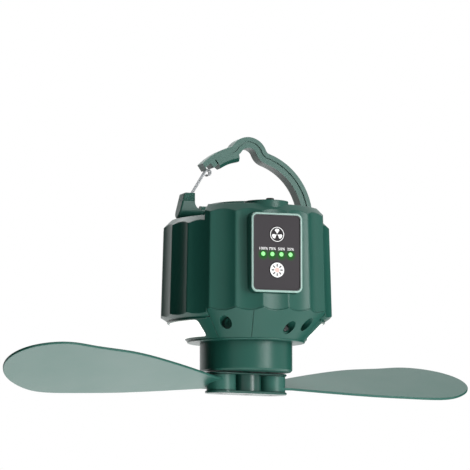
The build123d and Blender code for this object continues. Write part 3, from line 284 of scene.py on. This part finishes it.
rim_low, rim_high = corners("panel_frame")
face_front = corners("panel_face")[0].y
handle_foot = corners("handle")[0].z
lights_low, lights_high = corners("charge_lights")
LIGHT_COUNT = 4
LIGHT_RADIUS = 1.5 * MM
light_pitch = (lights_high.x - lights_low.x - 2 * LIGHT_RADIUS) / (LIGHT_COUNT - 1)
light_height = (lights_low.z + lights_high.z) / 2
light_places = [lights_low.x + LIGHT_RADIUS + index * light_pitch for index in range(LIGHT_COUNT)]

# ------------------------------------------------------------------ the panel rim's painted highlight and painted shade
RIM_CORNER = 4.5 * MM
EDGE_WIDTH = 1.4 * MM                  # of the painted highlight along the edge, from the rim's outline inwards
HALF_FADE = 0.1 * MM                   # half of the change between the painted highlight and the painted shade
HIGHLIGHT_DEPTH = 0.75 * MM                 # how far back from the rim's front the painted highlight reaches
STEP_SHADE_DEPTH = 2.8 * MM                  # how far back the painted shade on the inner step reaches

tree = frame_green.node_tree
outside = rounded_distance(tree, (rim_low + rim_high) / 2, (rim_high - rim_low) / 2, RIM_CORNER)
inner, outer = -EDGE_WIDTH - HALF_FADE, -EDGE_WIDTH + HALF_FADE
# Painted highlight on the rim's front edge, and painted shade on the inner step inside it
for start, end, depth, colour in ((inner, outer, HIGHLIGHT_DEPTH, (150, 184, 174)),
                                  (outer, inner, STEP_SHADE_DEPTH, (16, 32, 29))):
    across = remap(tree, outside, start, end)
    in_front = band(tree, (0, -1, 0), -rim_low.y - depth, 0.25 * MM)
    tint(frame_green, maths(tree, "MULTIPLY", across, in_front), colour)

# ------------------------------------------------------------------ painted green glow of the charge lights on the face round them
GLOW_REACH = 4.8 * MM                  # the painted glow is gone this far from a light's middle
GLOW_CORE = 1.7 * MM                   # and full up to here
GLOW_DROP = 0.5 * MM                   # it hangs a little low

tree = charcoal.node_tree
place = place_on(tree)
gaps = [vector_maths(tree, "DISTANCE", place, (aside, face_front, light_height - GLOW_DROP))
        for aside in light_places]
nearest = gaps[0]
for gap in gaps[1:]:
    nearest = maths(tree, "MINIMUM", nearest, gap)
painted_glow = remap(tree, nearest, GLOW_REACH, GLOW_CORE, interpolation_type="SMOOTHSTEP")
# The charge lights' glow, painted green onto the charcoal face
tint(charcoal, painted_glow, (20, 86, 24))

# ------------------------------------------------------------------ stippled top of the horn
HORN_RISE = 18.8 * MM                  # top of the horn above the handle's lowest point
HORN_SIDE = 41.4 * MM                  # the horn stands further left of the axis than this
STIPPLE_DEPTH = 6.0 * MM               # how far down the horn the thumb's texture reaches
STIPPLE_OVER = 0.5 * MM                # the mask ends this far above the horn

tree = handle_lit_green.node_tree
horn_top = handle_foot + HORN_RISE
on_horn = 1.0
for direction, edge, softness in (((-1, 0, 0), HORN_SIDE, 0.3 * MM),
                                  ((0, 0, 1), horn_top - STIPPLE_DEPTH, 0.4 * MM),
                                  ((0, 0, -1), -horn_top - STIPPLE_OVER, 0.3 * MM)):
    on_horn = maths(tree, "MULTIPLY", band(tree, direction, edge, softness), on_horn)
dimples = add(tree, "ShaderNodeTexVoronoi", Scale=1100.0)
tree.links.new(place_on(tree), dimples.inputs["Vector"])
stipple = add(tree, "ShaderNodeBump", Strength=0.9, Distance=0.6 * MM)
tree.links.new(maths(tree, "MULTIPLY", dimples.outputs["Distance"], on_horn), stipple.inputs["Height"])
tree.links.new(tree.nodes["Bump"].outputs[0], stipple.inputs["Normal"])
tree.links.new(stipple.outputs[0], tree.nodes["Principled BSDF"].inputs["Normal"])

# ------------------------------------------------------------------ each piece gets its finish
finishes = {
    drum_green: ["drum_shell"],
    green: ["cone_housing", "left_cone_cover", "right_cone_cover", "rear_cone_cover",
            "flange_ring", "motor_housing", "pivot_cap"],
    handle_lit_green: ["handle"],
    blade_green: ["left_blade", "right_blade"],
    hub_shaded_green: ["hub_top", "hub_bottom", "hub_post"],
    frame_green: ["panel_frame"],
    charcoal: ["panel_face", "cap_face"],
    button_face: ["fan_button", "light_button"],
    rubber: ["port_plug"],
    inner_black: ["battery_holder", "motor_plate", "tact_switches"],
    cell_sleeve: ["battery_cells"],
    board_green: ["main_board", "panel_board", "port_board", "left_lamp_strip", "right_lamp_strip"],
    white_tray: ["left_reflector", "right_reflector"],
    screw_dark: ["cover_screws"],
    steel: ["cap_screws", "hub_screw", "blade_pins", "motor_shaft", "lower_bearing",
            "upper_bearing", "rotor_cup", "usb_socket"],
    core_steel: ["stator_core"],
    winding: ["stator_coils"],
    magnet: ["rotor_magnets"],
    gate_chrome: ["wire_gate"],
    lens_glow: ["left_lamp_lens", "right_lamp_lens"],
    led_glow: ["charge_lights"],
    receiver_black: ["remote_receiver"],
}
for finish, names in finishes.items():
    for name in names:
        mesh = nodes[name].data
        mesh.materials.clear()
        mesh.materials.append(finish)

# ------------------------------------------------------------------ sizes of the printed marks
INK = 0.04 * MM                        # thickness of the print
MARK_RADIUS = 5.3 * MM                 # of both button marks
FAN_RING_INNER = 4.85 * MM
FAN_BLADES = 3
BLADE_ROOT, BLADE_TIP = 0.3 * MM, 4.1 * MM
# Half a blade's outline, root to tip: angle from its middle line in radians, distance from the centre
HALF_BLADE = ((0.40, 1.5 * MM), (0.56, 3.3 * MM), (0.34, 3.95 * MM))
GLOW_RADIUS = 1.9 * MM                 # blush disc in the middle of the light mark
TICKS = 8
TICK_WIDTH, TICK_LENGTH = 1.0 * MM, 2.0 * MM
TICK_PLACE = 3.3 * MM                  # middle of a tick from the mark's centre
NUMBER_RISE = 3.0 * MM                 # foot of the numbers above the lights
NUMBER_HEIGHT = 1.9 * MM
NUMBER_WIDTHS = {100: 6.5 * MM, 75: 5.3 * MM, 50: 5.3 * MM, 25: 5.3 * MM}
LETTER_SIZE, LETTER_WEIGHT = 2.7 * MM, 0.03 * MM
WELD = 0.001 * MM                      # corners nearer than this are one
TO_FRONT = Matrix.Rotation(math.radians(90), 4, "X")      # drawn flat, then stood up facing the front


# ------------------------------------------------------------------ drawing the marks
def mesh_object(name, shape, finish):
    """An object at the origin that has the drawn shape as its mesh."""
    mesh = bpy.data.meshes.new(name)
    shape.to_mesh(mesh)
    shape.free()
    mesh.materials.append(finish)
    made = bpy.data.objects.new(name, mesh)
    bpy.context.scene.collection.objects.link(made)
    return made


def print_mark(name, shape, finish, body, centre):
    """Stands a flat drawing up on the panel and lets it move with its body."""
    bmesh.ops.recalc_face_normals(shape, faces=shape.faces)
    bmesh.ops.transform(shape, matrix=Matrix.Translation(centre) @ TO_FRONT, verts=shape.verts)
    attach(mesh_object(name, shape, finish), body)


def thicken(shape, faces):
    """Gives flat faces the thickness of the print."""
    pushed = bmesh.ops.extrude_face_region(shape, geom=faces)["geom"]
    bmesh.ops.translate(shape, verts=[part for part in pushed if isinstance(part, bmesh.types.BMVert)],
                        vec=(0, 0, INK))


def disc(shape, radius, segments=48):
    """A round patch of print."""
    made = bmesh.ops.create_circle(shape, cap_ends=True, segments=segments, radius=radius)["verts"]
    thicken(shape, list({face for vert in made for face in vert.link_faces}))


def ring(shape, outer, inner, segments=64):
    """A circle drawn as a line of print."""
    edges = []
    for radius in (outer, inner):
        made = bmesh.ops.create_circle(shape, cap_ends=False, segments=segments, radius=radius)["verts"]
        edges += list({edge for vert in made for edge in vert.link_edges})
    thicken(shape, bmesh.ops.bridge_loops(shape, edges=edges)["faces"])


def blade(shape, turn):
    """A wedge that widens outwards and ends in a shallow arc."""
    outline = [(0.0, BLADE_ROOT)]
    outline += [(-angle, radius) for angle, radius in HALF_BLADE]
    outline += [(0.0, BLADE_TIP)]
    outline += [(angle, radius) for angle, radius in reversed(HALF_BLADE)]
    verts = [shape.verts.new((math.sin(angle - turn) * radius, math.cos(angle - turn) * radius, 0))
             for angle, radius in outline]
    thicken(shape, [shape.faces.new(verts)])


def tick(shape, turn):
    """A short bar that points at the centre."""
    flat = bmesh.ops.create_grid(shape, x_segments=1, y_segments=1, size=0.5)["verts"]
    face = flat[0].link_faces[0]
    bmesh.ops.scale(shape, verts=flat, vec=(TICK_WIDTH, TICK_LENGTH, 1))
    bmesh.ops.translate(shape, verts=flat, vec=(0, TICK_PLACE, 0))
    bmesh.ops.rotate(shape, verts=flat, matrix=Matrix.Rotation(turn, 3, "Z"))
    thicken(shape, [face])


def number(amount):
    """A charge level's figures, fitted to their width and height."""
    letters = bpy.data.curves.new(f"charge_{amount}", "FONT")
    letters.body = f"{amount}%"
    letters.size, letters.offset = LETTER_SIZE, LETTER_WEIGHT
    letters.align_x = "CENTER"
    holder = bpy.data.objects.new(f"charge_{amount}_text", letters)
    bpy.context.scene.collection.objects.link(holder)
    bpy.context.view_layer.update()
    shape = bmesh.new()
    shape.from_mesh(holder.to_mesh())
    holder.to_mesh_clear()
    bpy.data.objects.remove(holder)
    wide, tall = (max(vert.co[axis] for vert in shape.verts) - min(vert.co[axis] for vert in shape.verts)
                  for axis in (0, 1))
    bmesh.ops.scale(shape, verts=shape.verts, vec=(NUMBER_WIDTHS[amount] / wide, NUMBER_HEIGHT / tall, 1))
    bmesh.ops.remove_doubles(shape, verts=shape.verts, dist=WELD)
    thicken(shape, shape.faces[:])
    return shape


# ------------------------------------------------------------------ the marks themselves
on_fan_button = front_middle("fan_button")
on_light_button = front_middle("light_button")
on_light_disc = on_light_button - Vector((0, INK, 0))

mark = bmesh.new()
ring(mark, MARK_RADIUS, FAN_RING_INNER)
for index in range(FAN_BLADES):
    blade(mark, math.tau * index / FAN_BLADES)
print_mark("fan_mark", mark, ink_white, "fan_button", on_fan_button)

mark = bmesh.new()
disc(mark, MARK_RADIUS)
print_mark("light_mark", mark, ink_white, "light_button", on_light_button)

mark = bmesh.new()
disc(mark, GLOW_RADIUS, 32)
print_mark("light_mark_centre", mark, ink_blush, "light_button", on_light_disc)

mark = bmesh.new()
for index in range(TICKS):
    tick(mark, math.tau * index / TICKS)
print_mark("light_mark_ticks", mark, ink_dark, "light_button", on_light_disc)

for amount, aside in zip(NUMBER_WIDTHS, light_places):
    print_mark(f"charge_number_{amount}", number(amount), ink_white, "body",
               Vector((aside, face_front, light_height + NUMBER_RISE)))

# ------------------------------------------------------------------ camera
CAMERA_AZIMUTH, CAMERA_ELEVATION = -20.0, -6.3            # in degrees, a little left and a little below
DISTANCE = 2.2                         # metres
SCALE = 0.735 * MM                     # metres per pixel at the fan's axis
IMAGE = 470                            # pixels
SENSOR = 36                            # millimetres
AIM_ASIDE = -11 * SCALE                # the axis stands this far right of the frame's middle
AIM_HEIGHT = -63.9 * MM                # the frame's middle stands this far below the hook's seat


def towards(azimuth, elevation=0.0):
    """The way from the fan to a stand round it. In degrees: 0 is the front, 90 the right, up is positive."""
    turn, rise = math.radians(azimuth), math.radians(elevation)
    return Vector((math.sin(turn) * math.cos(rise), -math.cos(turn) * math.cos(rise), math.sin(rise)))


way = towards(CAMERA_AZIMUTH, CAMERA_ELEVATION)
right = Vector((math.cos(math.radians(CAMERA_AZIMUTH)), math.sin(math.radians(CAMERA_AZIMUTH)), 0))
camera_data = bpy.data.cameras.new("camera")
camera = bpy.data.objects.new("camera", camera_data)
bpy.context.scene.collection.objects.link(camera)
camera_data.sensor_width = SENSOR
camera_data.lens = SENSOR * DISTANCE / (IMAGE * SCALE)
camera_data.clip_start, camera_data.clip_end = 0.1, 100
camera.location = right * AIM_ASIDE + Vector((0, 0, AIM_HEIGHT)) + way * DISTANCE
camera.rotation_mode = "QUATERNION"
camera.rotation_quaternion = (-way).to_track_quat("-Z", "Y")
bpy.context.scene.camera = camera

# ------------------------------------------------------------------ lamps
DRUM_MIDDLE = Vector((0, 0, -0.09))


def softbox(name, azimuth, elevation, distance, size, power):
    """A rectangular lamp that stands round the fan and faces the middle of its drum."""
    way = towards(azimuth, elevation)
    data = bpy.data.lights.new(name, "AREA")
    data.shape = "RECTANGLE"
    data.size, data.size_y = size
    data.energy = power
    lamp = bpy.data.objects.new(name, data)
    bpy.context.scene.collection.objects.link(lamp)
    lamp.location = DRUM_MIDDLE + way * distance
    lamp.rotation_mode = "QUATERNION"
    lamp.rotation_quaternion = way.to_track_quat("Z", "Y")
    lamp.visible_camera = False


softbox("key", 34, 4, 1.3, (0.24, 0.9), 9.5)
softbox("front", 20, 10, 1.6, (0.3, 0.5), 4.5)
softbox("under", -6, -60, 0.95, (0.9, 0.5), 4.4)
softbox("rear_low", 155, -37, 1.0, (0.9, 0.6), 2.6)
softbox("rear", 180, 48, 1.5, (1.0, 0.8), 9)

# ------------------------------------------------------------------ surroundings
SKY_LIGHT = 0.28                       # strength of the world as a light on the fan
FLOOR_HEIGHT = -1.1
FLOOR_LIFT = 0.85                      # the floor's own light where it is looked at
FLOOR_HALF = 6.0
WHITE = (1, 1, 1, 1)


def looked_at(tree):
    """1 where the eye, a reflection or a view through glass meets the surface, 0 where it only lights."""
    path = add(tree, "ShaderNodeLightPath")
    direct = maths(tree, "MAXIMUM", path.outputs["Is Camera Ray"], path.outputs["Is Glossy Ray"])
    return maths(tree, "MAXIMUM", direct, path.outputs["Is Transmission Ray"])


def stage_sheet(name, half, matrix, finish):
    """A flat square that is scenery and not part of the fan, given by half its width."""
    shape = bmesh.new()
    bmesh.ops.create_grid(shape, x_segments=1, y_segments=1, size=half, matrix=matrix)
    made = mesh_object(name, shape, finish)
    return made


world = bpy.data.worlds.new("studio")
bpy.context.scene.world = world
world.use_nodes = True
tree = world.node_tree
tree.nodes.clear()
sky = add(tree, "ShaderNodeBackground", Color=WHITE)
tree.links.new(remap(tree, looked_at(tree), 0.0, 1.0, low=SKY_LIGHT), sky.inputs["Strength"])
tree.links.new(sky.outputs[0], add(tree, "ShaderNodeOutputWorld").inputs["Surface"])

bpy.context.scene.view_settings.view_transform = "Standard"

# The floor is white to the eye, darker only where the fan shades it, and open from below
floor_white = plastic("floor_white", (236, 236, 236), gloss=0.8, drift=0.02, specular=0.1)
tree = floor_white.node_tree
shader = tree.nodes["Principled BSDF"]
shader.inputs["Emission Color"].default_value = WHITE
tree.links.new(maths(tree, "MULTIPLY", looked_at(tree), FLOOR_LIFT), shader.inputs["Emission Strength"])
choose = add(tree, "ShaderNodeMixShader")
tree.links.new(add(tree, "ShaderNodeNewGeometry").outputs["Backfacing"], choose.inputs[0])
tree.links.new(shader.outputs[0], choose.inputs[1])
tree.links.new(add(tree, "ShaderNodeBsdfTransparent").outputs[0], choose.inputs[2])
tree.links.new(choose.outputs[0], tree.nodes["Material Output"].inputs["Surface"])
stage_sheet("floor", FLOOR_HALF, Matrix.Translation((0, 0, FLOOR_HEIGHT)), floor_white)

# Dark cards past both sides keep the sides deep: azimuth in degrees, distance and half width in metres
card_black = plastic("card_black", (10, 10, 10), gloss=0.9, drift=0.02, specular=0.0)
for azimuth, distance, half in ((-100, 0.7, 0.6), (118, 0.8, 0.3)):
    way = towards(azimuth)
    faces_fan = way.to_track_quat("Z", "Y").to_matrix().to_4x4()
    stands = Matrix.Translation(DRUM_MIDDLE + way * distance)
    stage_sheet("dark_card", half, stands @ faces_fan, card_black).visible_camera = False
